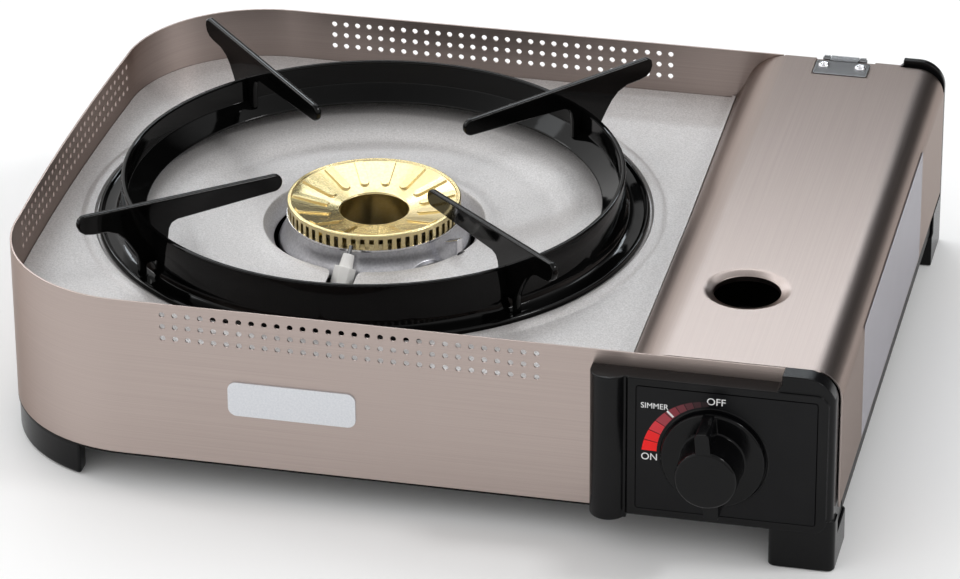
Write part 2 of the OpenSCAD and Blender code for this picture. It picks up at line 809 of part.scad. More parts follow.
module igniter_housing() {
  color(black) difference() {
    translate([83, plunger_y - 6, can_z - 6]) cube([housing_right - 83, 12, 12]);
    rod_x(plunger_y, can_z, plunger_r + running_gap, 85.5, housing_right + 1);
  }
}

// Plunger with a round nose that follows the cam
module igniter_plunger() {
  nose_x = can_x - cam_r - cam_gap - plunger_r;
  color(bright_steel) {
    rod_x(plunger_y, can_z, plunger_r, 92, nose_x);
    translate([nose_x, plunger_y, can_z]) sphere(r = plunger_r, $fn = 64);
  }
}

// Electrode: tip beside the burner's rim, ceramic leaning outwards and down
tip_at = [burner_x - 0.4, burner_y - cap_r - 1.6, 61.6];
tip_lean = [145, 0, -13.5];
ceramic_from = 3.5;
ceramic_to = 32;

module along_electrode() {
  translate(tip_at) rotate(tip_lean[2]) rotate([tip_lean[0], 0, 0]) children();
}

module electrode_ceramic() {
  color(ceramic) along_electrode() difference() {
    union() {
      translate([0, 0, ceramic_from]) cylinder(r1 = 2.3, r2 = 2.8, h = 5.5, $fn = 48);
      translate([0, 0, ceramic_from + 5.5]) cylinder(r = 4.7, h = 10.5, $fn = 8);
      translate([0, 0, ceramic_from + 16]) cylinder(r = 3.6, h = ceramic_to - ceramic_from - 16, $fn = 48);
    }
    translate([0, 0, -1]) cylinder(r = 0.8, h = ceramic_to + 5, $fn = 32);
  }
}

module electrode_pin() {
  color(bright_steel) along_electrode() cylinder(r = 0.8, h = ceramic_to, $fn = 32);
}

// Bracket from the pan: foot, upright leg and a slanted eye round the ceramic
module electrode_bracket() {
  hold = ceramic_from + 23;
  leg_x = burner_x - 8;
  leg_y = burner_y - 58;
  color(dark_steel) {
    along_electrode() translate([0, 0, hold]) difference() {
      union() {
        cylinder(r = 6, h = 1.2, $fn = 64);
        translate([-4, 0, 0]) cube([8, 8.6, 1.2]);
      }
      translate([0, 0, -1]) cylinder(r = 3.6, h = 4, $fn = 48);
    }
    translate([leg_x, leg_y, wall_bottom]) cube([8, 1.2, 31]);
    translate([leg_x, leg_y - 8, wall_bottom]) cube([8, 9, 1.2]);
  }
}

// Ignition wire from the igniter to the foot of the electrode, along the pan
wire_r = 1.3;
wire_sides = 8;
wire_route = [[88, -104.8, 41], [85, -99, 34], [80.1, -96, 26], [60, -90, 20], [20, -76, 17],
              [-20, -66, 17], [-44, -64, 17], [-56, -56, 18], [-57, -47, 22], [-52.5, -42, 28],
              [-46.9, -42.7, 34.6]];

function unit(v) = v / norm(v);
function side_of(d) = unit(cross(d, abs(d[2]) > 0.9 ? [1, 0, 0] : [0, 0, 1]));
function heading(p, i) = unit(p[min(i + 1, len(p) - 1)] - p[max(i - 1, 0)]);
function wire_ring(p, i) = let (d = heading(p, i), a = side_of(d), b = cross(d, a))
  [for (k = [0 : wire_sides - 1]) let (t = 360 * k / wire_sides)
    p[i] + wire_r * (cos(t) * a + sin(t) * b)];

module wire_tube(p) {
  n = len(p);
  polyhedron(
    points = [for (i = [0 : n - 1]) each wire_ring(p, i)],
    faces = concat(
      [[for (k = [0 : wire_sides - 1]) k]],
      [for (i = [0 : n - 2], k = [0 : wire_sides - 1]) let (m = (k + 1) % wire_sides)
        [i * wire_sides + k, (i + 1) * wire_sides + k, (i + 1) * wire_sides + m]],
      [for (i = [0 : n - 2], k = [0 : wire_sides - 1]) let (m = (k + 1) % wire_sides)
        [i * wire_sides + k, (i + 1) * wire_sides + m, i * wire_sides + m]],
      [[for (k = [wire_sides - 1 : -1 : 0]) (n - 1) * wire_sides + k]]));
}

module ignition_wire() {
  color(dark_steel) wire_tube(wire_route);
}

// ---------------------------------------------------------------- hinge

hinge_x = 126.55;
leaf_w = 22.5;
knuckle_r = 1.5;
knuckle_half = 5.9;
lug_w = 2.6;
lug_gap = 0.3;
pin_half = 9.2;
leaf_front = 129.8;
leaf_back = 142.3;
rivet_dx = 7.55;
rivet_y = 137.4;
rivet_r = 1.2;
leaf_rise = 0.4;
recess_left = 0.3;
recess_right = 1.6;
recess_front = 0.3;
recess_drop = 0.6;

module hinge_leaf_base() {
  color(bright_steel) difference() {
    union() {
      translate([hinge_x - 13, back_y, 60]) cube([26, 0.8, 14]);
      for (side = [-1, 1]) {
        lug_mid = side * (knuckle_half + lug_gap + lug_w / 2);
        translate([hinge_x + lug_mid - lug_w / 2, 0, 0]) along_x(0, lug_w) {
          translate([hinge_y, hinge_z]) circle(r = knuckle_r, $fn = 64);
          translate([back_y, 66]) square([knuckle_r, hinge_z - 66]);
        }
      }
    }
    rod_x(hinge_y, hinge_z, pin_r, hinge_x - 20, hinge_x + 20);
    for (side = [-1, 1]) rod_y(hinge_x + side * 8, 63, 1.2, back_y - 1, back_y + 3);
  }
}

module hinge_pin() {
  color(bright_steel) rod_x(hinge_y, hinge_z, pin_r, hinge_x - pin_half, hinge_x + pin_half);
}

module hinge_rivets() {
  color(bright_steel) for (side = [-1, 1]) {
    rod_y(hinge_x + side * 8, 63, 1.2, back_y, back_y + 0.8);
    rod_y(hinge_x + side * 8, 63, 2.2, back_y + 0.8, back_y + 1.6);
  }
}

module hinge_leaf_lid() {
  color(bright_steel) difference() {
    union() {
      translate([hinge_x - leaf_w / 2, leaf_front, wall_top + leaf_rise - 1]) linear_extrude(1)
        round_rect([leaf_w, leaf_back - leaf_front], 1.4);
      translate([hinge_x - knuckle_half, leaf_back - 1, wall_top + leaf_rise - 1])
        cube([2 * knuckle_half, hinge_y - leaf_back + 1, 0.9]);
      rod_x(hinge_y, hinge_z, knuckle_r, hinge_x - knuckle_half, hinge_x + knuckle_half);
    }
    rod_x(hinge_y, hinge_z, pin_r + running_gap, hinge_x - 20, hinge_x + 20);
    for (side = [-1, 1]) rod_z(hinge_x + side * rivet_dx, rivet_y, rivet_r, 70, 90);
  }
}

module lid_rivets() {
  color(bright_steel) for (side = [-1, 1]) {
    rod_z(hinge_x + side * rivet_dx, rivet_y, rivet_r, wall_top - 2, wall_top + leaf_rise);
    translate([hinge_x + side * rivet_dx, rivet_y, wall_top + leaf_rise]) rotate_extrude($fn = 64)
      polygon([[0, 0], [2.4, 0], [2.2, 0.6], [1.7, 1], [1.1, 0.9], [0.8, 0.3], [0, 0.3]]);
    rod_z(hinge_x + side * rivet_dx, rivet_y, 2.2, wall_top - 2.2,
          wall_top - recess_drop - sheet_t);
  }
}

// ---------------------------------------------------------------- lid

slope_angle = 70.5;
slope_r = 18;
slope_start = 59.7;
lid_front = front_y + sheet_t + 0.35;
lid_back = back_y - 0.25;
finger_at = [can_x, -62.5];
label = [-68, 24, 84, 72];

// Centre of the round that joins the left slope to the flat top, and where the slope meets it
slope_cx = lid_left + (slope_r + (wall_top - slope_r - slope_start) * cos(slope_angle))
           / sin(slope_angle);
slope_cz = wall_top - slope_r;
tangent = [slope_cx - slope_r * sin(slope_angle), slope_cz + slope_r * cos(slope_angle)];

// Section of the lid between its outer face and one inset from it
module lid_section(inset) {
  edge = [sin(slope_angle), -cos(slope_angle)] * inset;
  corner = [right_x - lid_corner_r, wall_top - lid_corner_r];
  polygon([[lid_left, slope_start] + edge, tangent + edge, [slope_cx, slope_cz],
           [slope_cx, wall_top - inset], [corner[0], wall_top - inset], corner,
           [right_x - inset, corner[1]], [right_x - inset, lid_side_bottom],
           [corner[0] - 30, lid_side_bottom], [corner[0] - 30, slope_start]]);
  intersection() {
    translate([slope_cx, slope_cz]) circle(r = slope_r - inset, $fn = fine);
    polygon([[slope_cx, slope_cz], tangent, tangent + [-10, 10], [slope_cx, wall_top + 10]]);
  }
  translate(corner) circle(r = lid_corner_r - inset, $fn = fine);
}

module lid() {
  color(steel) difference() {
    union() {
      difference() {
        along_y(lid_front, lid_back) difference() {
          lid_section(0);
          lid_section(sheet_t);
          translate([lid_left, 0]) square([right_x - sheet_t - lid_left, slope_start]);
        }
        rod_z(finger_at[0], finger_at[1], finger_r + 4.3, wall_top - 2, wall_top + 1);
      }
      // the lower left edge flares outwards towards the back, up to a slanting crease
      intersection() {
        along_y(flare_from, lid_back)
          polygon([[lid_left - 4, slope_start], [lid_left + 0.5, slope_start], tangent + [0.5, 0],
                   [lid_left - 4, tangent[1]]]);
        translate([lid_left, flare_from, slope_start])
          rotate([0, 90 - flare_tilt, atan(flare / (lid_back - flare_from))])
            translate([0, -20, -10]) cube([30, 200, 60]);
      }
      // pressed recess that takes the hinge leaf
      translate([hinge_x - leaf_w / 2 - recess_left - 0.8, leaf_front - recess_front - 0.8,
                 wall_top - recess_drop - sheet_t])
        cube([leaf_w + recess_left + recess_right + 1.6, lid_back - leaf_front + recess_front + 0.8,
              sheet_t + 0.4]);
      // drawn ring round the finger hole
      translate([finger_at[0], finger_at[1], wall_top]) rotate_extrude($fn = fine)
        polygon([[finger_r, -3.8], [finger_r + 0.8, -3.8], [finger_r + 0.8, -2.2], [finger_r + 3.4, -1.3],
                 [finger_r + 4.4, -0.8], [finger_r + 4.4, 0], [finger_r + 4.3, 0], [finger_r + 2.6, -0.5],
                 [finger_r + 0.7, -1.2], [finger_r, -1.6]]);
    }
    translate([hinge_x - leaf_w / 2 - recess_left, leaf_front - recess_front, wall_top - recess_drop])
      cube([leaf_w + recess_left + recess_right, 60, 5]);
    // front edge, leaning back below the hinge's height so that it swings clear of the wall
    along_x(lid_left - 5, panel_right)
      polygon([[front_y - 5, 100], [lid_front, 100], [lid_front, hinge_z],
               [lid_front + 1, slope_start], [lid_front + 1, 0], [front_y - 5, 0]]);
    // the sloped left side ends in front of the back wall
    translate([lid_left - 8, back_y - sheet_t - 0.35, 50]) cube([low_wall_from + 0.3 - lid_left + 8, 5, 50]);
    // set back in front of the rear cap
    translate([rear_cap_x - 1, hinge_y - 3.55, 70]) cube([40, 10, 20]);
    translate([right_x - sheet_t - 1, back_y - 0.4, 0]) cube([10, 5, 100]);
    // shallow recess for the side label
    translate([right_x - 0.2, label[0], label[1]]) cube([1, label[2] - label[0], label[3] - label[1]]);
    for (side = [-1, 1]) rod_z(hinge_x + side * rivet_dx, rivet_y, rivet_r, 70, 90);
  }
}

module side_label() {
  color(label_grey) translate([right_x - 0.2, label[0], label[1]])
    cube([0.2, label[2] - label[0], label[3] - label[1]]);
}

// ---------------------------------------------------------------- knob

knob_front = panel_face - grip_proud;
pointer_w = 5.6;
tail_w = 5.9;
pointer_turn = 5;
disc_t = 3.05;

// Front view of a wing that reaches just short of the disc's edge
module knob_wing(width) {
  translate([-width / 2, -2]) round_rect([width, knob_r + 1.8], 1.7);
}

module knob() {
  color(black) difference() {
    union() {
      translate([can_x, panel_face, can_z]) rotate([90, 0, 0]) rotate_extrude($fn = fine)
        polygon([[0, 0.1], [knob_r - 0.6, 0.1], [knob_r, 0.7], [knob_r, disc_t - 0.7],
                 [knob_r - 0.7, disc_t], [grip_r + 0.8, disc_t], [grip_r + 0.3, disc_t + 0.6],
                 [grip_r, grip_proud - 0.8], [grip_r - 0.8, grip_proud], [0, grip_proud]]);
      // pointer above the grip and a shorter tail below it
      along_y(knob_front + 0.2, panel_face - 1) translate([can_x, can_z]) rotate(pointer_turn)
        knob_wing(pointer_w);
      along_y(knob_front + 5, panel_face - 1) translate([can_x, can_z]) rotate(pointer_turn + 180)
        knob_wing(tail_w);
    }
    rod_y(can_x, can_z, spindle_r, knob_front + 7, panel_face + 5);
  }
}

module spindle() {
  color(bright_steel) rod_y(can_x, can_z, spindle_r, knob_front + 7, chamber_front);
}

// ---------------------------------------------------------------- trivet

// Section of the ring: lipped flange, upright wall and folded inner skirt
module trivet_section() {
  wall_r = 101;
  polygon([[ring_r, seat_z + 0.4], [ring_r, seat_z + 1.8], [ring_r - 0.6, seat_z + 2.6],
           [ring_r - 1.5, seat_z + 2.6], [ring_r - 2.4, seat_z + 1.6], [wall_r + 3.4, seat_z + 1.5],
           [wall_r + 1.2, seat_z + 2.4], [wall_r, seat_z + 5], [wall_r - 0.3, ring_top - 0.5],
           [wall_r - 0.7, ring_top], [wall_r - 2, ring_top], [wall_r - 2.5, ring_top - 0.6],
           [wall_r - 2.5, 68.5], [91.5, 63.6], [91, 62.8], [91.6, 62.4],
           [wall_r - 1.3, 67.6], [wall_r - 1.3, seat_z + 4.6], [wall_r + 0.4, seat_z + 1.2],
           [wall_r + 2.4, seat_z], [ring_r - 1, seat_z]]);
}

// Side view of one arm as radius and height
module arm_view() {
  slope = (arm_top - arm_top_inner) / 87;
  polygon([[46, 80.5], [90, 80.5], [92.4, 79.6], [93.6, 77.6], [94.2, 74], [94.2, 66], [96.5, 66],
           [98.5, seat_z + 6.5], [104.2, seat_z + 6.5], [104.2, seat_z + 1.5], [107.6, seat_z + 1.5],
           [107.6, 66.5], [108.4, 70], [111, 74.5], [113.6, 78.4], [116.6, 81.4], [121, 83.4],
           [127, 84], [130.4, 84.8], [132.6, 86.6], [133.5, 89.2], [133.1, 91.6], [131.2, arm_top],
           [46, arm_top_inner + 2 * slope]]);
  translate([46, 84.1]) circle(r = 3.6, $fn = 48);
}

module arm_at(index) {
  at_burner() rotate(45 + 90 * index) rotate([90, 0, 0]) translate([0, 0, -arm_t / 2])
    linear_extrude(arm_t) arm_view();
}

module trivet_ring() {
  color(enamel) difference() {
    at_burner() rotate_extrude($fn = fine) trivet_section();
    for (i = [0 : 3]) arm_at(i);
  }
}

module trivet_arm_1() { color(enamel) arm_at(0); }
module trivet_arm_2() { color(enamel) arm_at(1); }
module trivet_arm_3() { color(enamel) arm_at(2); }
module trivet_arm_4() { color(enamel) arm_at(3); }

// ---------------------------------------------------------------- assembly

wind_band();
top_plate();
plate_tab();
base_pan();
canister_tray();
bay_divider();
heat_panel();
front_panel();
dial_plate();
rear_cap();
foot_front_left();
foot_rear_left();
badge_plate();
panel_screws();
base_screws();
burner_stand();
burner_body();
burner_ring();
burner_cap();
burner_screws();
mixing_tube();
nozzle_holder();
nozzle();
gas_pipe();
regulator_bracket();
regulator_body();
regulator_cover();
regulator_screws();
canister_collar();
collar_magnets();
seal_ring();
canister_guide();
release_pin();
valve_needle();
igniter_housing();
igniter_plunger();
electrode_ceramic();
electrode_pin();
electrode_bracket();
ignition_wire();
hinge_leaf_base();
hinge_pin();
hinge_rivets();
lid();
hinge_leaf_lid();
lid_rivets();
side_label();
knob();
spindle();
cam();
trivet_ring();
trivet_arm_1();
trivet_arm_2();
trivet_arm_3();
trivet_arm_4();
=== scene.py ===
"""Looks of a butane cassette stove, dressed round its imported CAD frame. Metres, front at -Y, +Z up.

Sizes of the stove's own pieces are in millimetres and angles in degrees, and MM turns a size to metres. The
lamps, the floor and the camera are placed in metres."""

import json
import math

import bmesh
import bpy
from mathutils import Matrix, Vector


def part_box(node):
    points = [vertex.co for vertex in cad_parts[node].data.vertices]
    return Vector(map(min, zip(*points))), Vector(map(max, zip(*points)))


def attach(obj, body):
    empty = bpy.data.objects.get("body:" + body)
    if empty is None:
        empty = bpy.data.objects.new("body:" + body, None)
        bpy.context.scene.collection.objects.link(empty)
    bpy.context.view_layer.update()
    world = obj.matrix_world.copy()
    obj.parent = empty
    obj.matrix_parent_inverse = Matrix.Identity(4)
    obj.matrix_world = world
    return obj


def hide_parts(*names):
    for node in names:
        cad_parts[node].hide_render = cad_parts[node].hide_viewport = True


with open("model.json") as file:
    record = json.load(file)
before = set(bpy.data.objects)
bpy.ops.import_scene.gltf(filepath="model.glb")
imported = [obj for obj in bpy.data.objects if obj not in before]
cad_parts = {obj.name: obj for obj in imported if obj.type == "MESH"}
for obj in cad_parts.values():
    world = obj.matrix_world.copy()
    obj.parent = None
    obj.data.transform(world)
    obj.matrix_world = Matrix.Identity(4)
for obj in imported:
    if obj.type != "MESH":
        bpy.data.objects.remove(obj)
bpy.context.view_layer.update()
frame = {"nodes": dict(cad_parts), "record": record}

MM = 0.001

# ---------------------------------------------------------------- node and colour helpers


def srgb(code):
    """Turns an sRGB hex value into the linear colour that a shader socket takes."""
    values = [int(code[i:i + 2], 16) / 255 for i in (1, 3, 5)]
    return [v / 12.92 if v <= 0.04045 else ((v + 0.055) / 1.055) ** 2.4 for v in values] + [1.0]


def grey(level):
    """A linear grey of the world's light."""
    return level, level, level, 1.0


def add(tree, kind, links=None, stops=(), **settings):
    """Adds one node. Settings name sockets or properties, links give (node, output) for a socket, and stops
    give a colour ramp's (place, colour) pairs in rising order."""
    made = tree.nodes.new(kind)
    for name, value in settings.items():
        socket = name if name in made.inputs else name.replace("_", " ")
        if socket in made.inputs:
            made.inputs[socket].default_value = value
        else:
            setattr(made, name, value)
    for index, (place, colour) in enumerate(stops):
        elements = made.color_ramp.elements
        stop = elements[index] if index < len(elements) else elements.new(place)
        stop.position, stop.color = place, colour
    for name, (source, output) in (links or {}).items():
        tree.links.new(source.outputs[output], made.inputs[name])
    return made


def new_material(name):
    """An empty material and its node tree."""
    made = bpy.data.materials.new(name)
    made.use_nodes = True
    made.node_tree.nodes.clear()
    return made, made.node_tree


def scaled_coordinates(tree, cell):
    """Object coordinates scaled so that a cell of a pattern has this real size in mm along X, Y and Z."""
    per_metre = [1 / (size * MM) for size in cell]
    place = add(tree, "ShaderNodeTexCoord")
    return add(tree, "ShaderNodeMapping", {"Vector": (place, "Object")}, Scale=per_metre)


# ---------------------------------------------------------------- materials

# The brush leaves scratches of this length, 2.6 to the millimetre. Real ones are finer than the render can
# show, so these are as coarse as they need to be.
SCRATCH_LENGTH = 125
SCRATCH_WIDTH = 1 / 2.6
# Scratches are a little rougher on their crests, and the sheet has this tint at a glancing angle.
GROOVE_ROUGHNESS = 0.25
CREST_ROUGHNESS = 0.36
GLANCING_TINT = "#c4bcb7"
# How deep the light takes scratches, a metal's grain and a coat's skin to be
SCRATCH_DEPTH = 0.03
GRAIN_DEPTH = 0.1
SKIN_DEPTH = 0.08
# A coat has three faint cloudy patches to 50 mm, and its roughness varies over them between these parts of
# its value.
CLOUD_SIZE = 50 / 3
SMOOTHER = 0.85
ROUGHER = 1.2


def brushed_stainless(name, tint, dark_tint, scratches, across, bump):
    """Brushed stainless sheet with a champagne tint. Its fine scratches all run one way, so what the
    eye sees is a reflection that smears across them and stays fairly sharp along them."""
    made, tree = new_material(name)
    lines = add(tree, "ShaderNodeTexNoise", {"Vector": (scaled_coordinates(tree, scratches), "Vector")},
                Scale=1.0, Detail=3.0, Roughness=0.7)
    colour = add(tree, "ShaderNodeValToRGB", {"Fac": (lines, "Fac")},
                 stops=((0.3, srgb(dark_tint)), (0.7, srgb(tint))))
    rough = add(tree, "ShaderNodeMapRange", {"Value": (lines, "Fac")},
                To_Min=GROOVE_ROUGHNESS, To_Max=CREST_ROUGHNESS)
    relief = add(tree, "ShaderNodeBump", {"Height": (lines, "Fac")},
                 Strength=bump, Distance=SCRATCH_DEPTH * MM)
    smear = add(tree, "ShaderNodeCombineXYZ", X=across[0], Y=across[1], Z=across[2])
    shader = add(tree, "ShaderNodeBsdfPrincipled",
                 {"Base Color": (colour, "Color"), "Roughness": (rough, "Result"),
                  "Normal": (relief, "Normal"), "Tangent": (smear, "Vector")},
                 Metallic=1.0, Anisotropic=0.75, Specular_Tint=srgb(GLANCING_TINT))
    add(tree, "ShaderNodeOutputMaterial", {"Surface": (shader, "BSDF")})
    return made


def speckled_metal(name, tint, dark_tint, grain, roughness, metallic, bump):
    """Plated, cast or pearl-coated metal: a fine grain of two close tints that breaks up its shine."""
    made, tree = new_material(name)
    specks = add(tree, "ShaderNodeTexNoise", {"Vector": (scaled_coordinates(tree, [grain] * 3), "Vector")},
                 Scale=1.0, Detail=2.0, Roughness=0.6)
    colour = add(tree, "ShaderNodeValToRGB", {"Fac": (specks, "Fac")},
                 stops=((0.35, srgb(dark_tint)), (0.65, srgb(tint))))
    relief = add(tree, "ShaderNodeBump", {"Height": (specks, "Fac")},
                 Strength=bump, Distance=GRAIN_DEPTH * MM)
    shader = add(tree, "ShaderNodeBsdfPrincipled",
                 {"Base Color": (colour, "Color"), "Normal": (relief, "Normal")},
                 Metallic=metallic, Roughness=roughness)
    add(tree, "ShaderNodeOutputMaterial", {"Surface": (shader, "BSDF")})
    return made


def plain_coat(name, tint, wear_tint, roughness, shine, grain=0.6, bump=0.05):
    """Moulded, printed, painted or enamelled surface: one colour with a faint cloudiness and a fine skin."""
    made, tree = new_material(name)
    clouds = add(tree, "ShaderNodeTexNoise",
                 {"Vector": (scaled_coordinates(tree, [CLOUD_SIZE] * 3), "Vector")}, Scale=1.0, Detail=2.0)
    colour = add(tree, "ShaderNodeValToRGB", {"Fac": (clouds, "Fac")},
                 stops=((0.35, srgb(tint)), (0.7, srgb(wear_tint))))
    rough = add(tree, "ShaderNodeMapRange", {"Value": (clouds, "Fac")},
                To_Min=roughness * SMOOTHER, To_Max=roughness * ROUGHER)
    skin = add(tree, "ShaderNodeTexNoise", {"Vector": (scaled_coordinates(tree, [grain] * 3), "Vector")},
               Scale=1.0)
    relief = add(tree, "ShaderNodeBump", {"Height": (skin, "Fac")},
                 Strength=bump, Distance=SKIN_DEPTH * MM)
    shader = add(tree, "ShaderNodeBsdfPrincipled",
                 {"Base Color": (colour, "Color"), "Roughness": (rough, "Result"),
                  "Normal": (relief, "Normal")}, Specular_IOR_Level=shine)
    add(tree, "ShaderNodeOutputMaterial", {"Surface": (shader, "BSDF")})
    return made


MATERIALS = {
    # Champagne stainless brushed lengthways: fine level lines, with each reflection drawn out up and down
    "brushed_band": brushed_stainless(
        "champagne_stainless_band", "#b8aaa4", "#ad9f99",
        scratches=(SCRATCH_LENGTH, SCRATCH_LENGTH, SCRATCH_WIDTH), across=(0, 0, 1), bump=0.08),
    # The same sheet brushed front to back: a satin sheen that spreads sideways, round the rolled corner. Its
    # tint is a little darker than the band's although the sheet is the same, which is painted shade on the
    # lid.
    "brushed_lid": brushed_stainless(
        "champagne_stainless_lid", "#b2a6a1", "#a99d98",
        scratches=(SCRATCH_WIDTH, SCRATCH_LENGTH, SCRATCH_WIDTH), across=(1, 0, 0), bump=0.06),
    # Steel under a baked pearl coat: pale and nearly matt, with a fine sparkle
    "plate_steel": speckled_metal("pearl_coated_steel", "#d0cdcc", "#b5b2b1",
                                  grain=0.6, roughness=0.42, metallic=0.3, bump=0.3),
    # Painted pressing: a dull black that hardly reflects
    "black_pan": plain_coat("black_painted_pan", "#080808", "#0e0e0e", roughness=0.4, shine=0.12),
    # Hot-dipped zinc: bluish grey in soft patches
    "galvanised": speckled_metal("galvanised_sheet", "#9aa0a3", "#7f8588",
                                 grain=3.0, roughness=0.45, metallic=1.0, bump=0.1),
    # Aluminium as rolled: pale, softly bright and even
    "alloy_sheet": speckled_metal("mill_aluminium", "#cfd0d2", "#bfc1c3",
                                  grain=1.5, roughness=0.38, metallic=1.0, bump=0.1),
    # ABS from a lightly textured mould: deep black with a soft sheen
    "black_plastic": plain_coat("moulded_black_abs", "#09090a", "#0e0e0f",
                                roughness=0.25, shine=0.18, grain=0.5, bump=0.1),
    # Printed polycarbonate sheet: a flat black, slightly duller than the moulding round it
    "dial_print": plain_coat("printed_polycarbonate", "#09090b", "#0d0d0f",
                             roughness=0.30, shine=0.17, grain=0.4),
    # Satin foil: pale silver, evenly bright
    "badge": speckled_metal("satin_badge_foil", "#dcdee2", "#d2d5da",
                            grain=0.8, roughness=0.3, metallic=0.6, bump=0.03),
    # Printed film: a flat middle grey with little shine
    "side_print": plain_coat("blank_label_film", "#8f8c93", "#98959c", roughness=0.4, shine=0.3, grain=1.2),
    # Bright zinc plating: a greyish near-mirror
    "bright_steel": speckled_metal("zinc_plated_steel", "#8a8b8d", "#7b7c7e",
                                   grain=1.0, roughness=0.18, metallic=1.0, bump=0.05),
    # Die-cast alloy: pale grey and bright, softened by the mould's skin
    "cast_alloy": speckled_metal("die_cast_alloy", "#d8d8dc", "#c5c5ca",
                                 grain=0.9, roughness=0.28, metallic=1.0, bump=0.08),
    # Pressed and polished brass: pale gold that mirrors light and dark over its ribs
    "brass_cap": speckled_metal("pressed_brass", "#ead8a6", "#e2cf98",
                                grain=1.0, roughness=0.22, metallic=1.0, bump=0.04),
    # Turned brass: a deeper gold with a soft shine
    "brass_small": speckled_metal("turned_brass", "#d9b566", "#c5a052",
                                  grain=1.0, roughness=0.25, metallic=1.0, bump=0.08),
    # Dark plating over iron: a dim grey metal
    "magnet": speckled_metal("dark_plated_collar", "#55575a", "#3f4144",
                             grain=0.8, roughness=0.4, metallic=0.9, bump=0.1),
    # Nitrile rubber: soft black without a clear reflection
    "seal_rubber": plain_coat("nitrile_rubber", "#101010", "#181818", roughness=0.7, shine=0.3),
    # Silicone sleeve: charcoal with a faint sheen
    "wire_rubber": plain_coat("silicone_wire_sleeve", "#151515", "#202020", roughness=0.55, shine=0.3),
    # Glazed alumina: clean white with a small sharp glint
    "white_ceramic": plain_coat("glazed_alumina", "#fbfaf8", "#f2f0ec",
                                roughness=0.12, shine=0.5, grain=0.8),
    # ABS from a polished mould: blacker and glossier than the panel
    "knob_plastic": plain_coat("glossy_black_abs", "#060607", "#0a0a0b", roughness=0.16, shine=0.18),
    # Fired enamel: a glassy black skin with slow waves, so a lamp shows as a crisp line that wavers a little
    "black_enamel": plain_coat("black_vitreous_enamel", "#030303", "#060606",
                               roughness=0.06, shine=0.2, grain=4.0, bump=0.1),
}

# Nickel plating on four small bright pieces: whiter than the zinc of their slot
NICKEL = speckled_metal("nickel_plated_steel", "#f2f2f4", "#e6e6ea",
                        grain=1.0, roughness=0.2, metallic=1.0, bump=0.03)
NICKEL_PIECES = ("lid_rivets", "hinge_rivets", "plate_tab", "burner_ring")

# ---------------------------------------------------------------- the CAD pieces with their real edges

BODY_OF = {node: body for body, nodes in frame["record"]["behaviour"]["bodies"].items() for node in nodes}
SLOT_OF = {row["node"]: row["material_slot"] for row in frame["record"]["subparts"]}

# Points closer than this are one, and faces within this angle are one flat face.
MERGE_GAP = 0.002
FLAT_ANGLE = 0.5
# An edge turned by more than this is broken, and past the second angle two faces shade apart.
SHARP_ANGLE = 35
CREASE_ANGLE = 32
# Over the neutral 50, large faces keep a flat shade beside their narrow edges.
FACE_WEIGHT = 60
# Edges wider than this are rounded in three steps, narrower ones in two.
ROUNDED_WIDTH = 0.4
# Width of a broken edge: cut sheet is sharp, moulded plastic is softer, enamel is thick at every edge.
EDGE_WIDTHS = {
    0.15: ["wind_band", "lid", "top_plate", "burner_cap", "burner_ring", "bay_divider", "heat_panel",
           "regulator_bracket", "burner_stand", "hinge_leaf_base", "hinge_rivets", "mixing_tube",
           "electrode_bracket", "lid_rivets"],
    0.25: ["hinge_leaf_lid", "plate_tab", "electrode_ceramic", "canister_collar", "nozzle_holder",
           "regulator_cover", "base_pan", "burner_body", "cam", "canister_guide"],
    0.45: ["front_panel", "rear_cap", "igniter_housing", "regulator_body"],
    0.35: ["knob", "trivet_ring"],
    0.8: ["trivet_arm_1", "trivet_arm_2", "trivet_arm_3", "trivet_arm_4"],
    1.2: ["foot_front_left", "foot_rear_left"],
}


def link(mesh, name, body, slot, material=None):
    """Puts a mesh in the scene as a piece of a body, in its slot's material unless another is given."""
    made = bpy.data.objects.new(name, mesh)
    bpy.context.collection.objects.link(made)
    mesh.materials.append(material or MATERIALS[slot])
    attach(made, body)
    return made


def smooth_by_angle(mesh, degrees):
    """Smooth shading, except over edges turned by more than this angle."""
    mesh.shade_smooth()
    mesh.set_sharp_from_angle(angle=math.radians(degrees))


def with_edges(node, width):
    """A copy of a CAD node whose sharp edges are broken, as a deburred, moulded or enamelled part's are."""
    bm = bmesh.new()
    bm.from_mesh(frame["nodes"][node].data)
    bmesh.ops.remove_doubles(bm, verts=bm.verts, dist=MERGE_GAP * MM)
    bmesh.ops.dissolve_limit(bm, angle_limit=math.radians(FLAT_ANGLE), verts=bm.verts, edges=bm.edges)
    inner = [edge for edge in bm.edges if len(edge.link_faces) == 2]
    sharp = [edge for edge in inner if edge.calc_face_angle() > math.radians(SHARP_ANGLE)]
    bmesh.ops.bevel(bm, geom=sharp, offset=width * MM, offset_type="OFFSET",
                    segments=3 if width > ROUNDED_WIDTH else 2, profile=0.5, affect="EDGES",
                    clamp_overlap=False, material=-1)
    mesh = bpy.data.meshes.new(node + "_finished")
    bm.to_mesh(mesh)
    bm.free()
    smooth_by_angle(mesh, CREASE_ANGLE)
    plating = NICKEL if node in NICKEL_PIECES else None
    made = link(mesh, node + "_finished", BODY_OF[node], SLOT_OF[node], plating)
    flats = made.modifiers.new("flat_faces", "WEIGHTED_NORMAL")
    flats.keep_sharp = True
    flats.weight = FACE_WEIGHT
    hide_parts(node)


for width, nodes in EDGE_WIDTHS.items():
    for node in nodes:
        with_edges(node, width)

# The pieces that need no broken edges show as they are, in their slots' materials.
for node, shown in frame["nodes"].items():
    shown.data.materials.clear()
    shown.data.materials.append(MATERIALS[SLOT_OF[node]])

# ---------------------------------------------------------------- printing on the dial

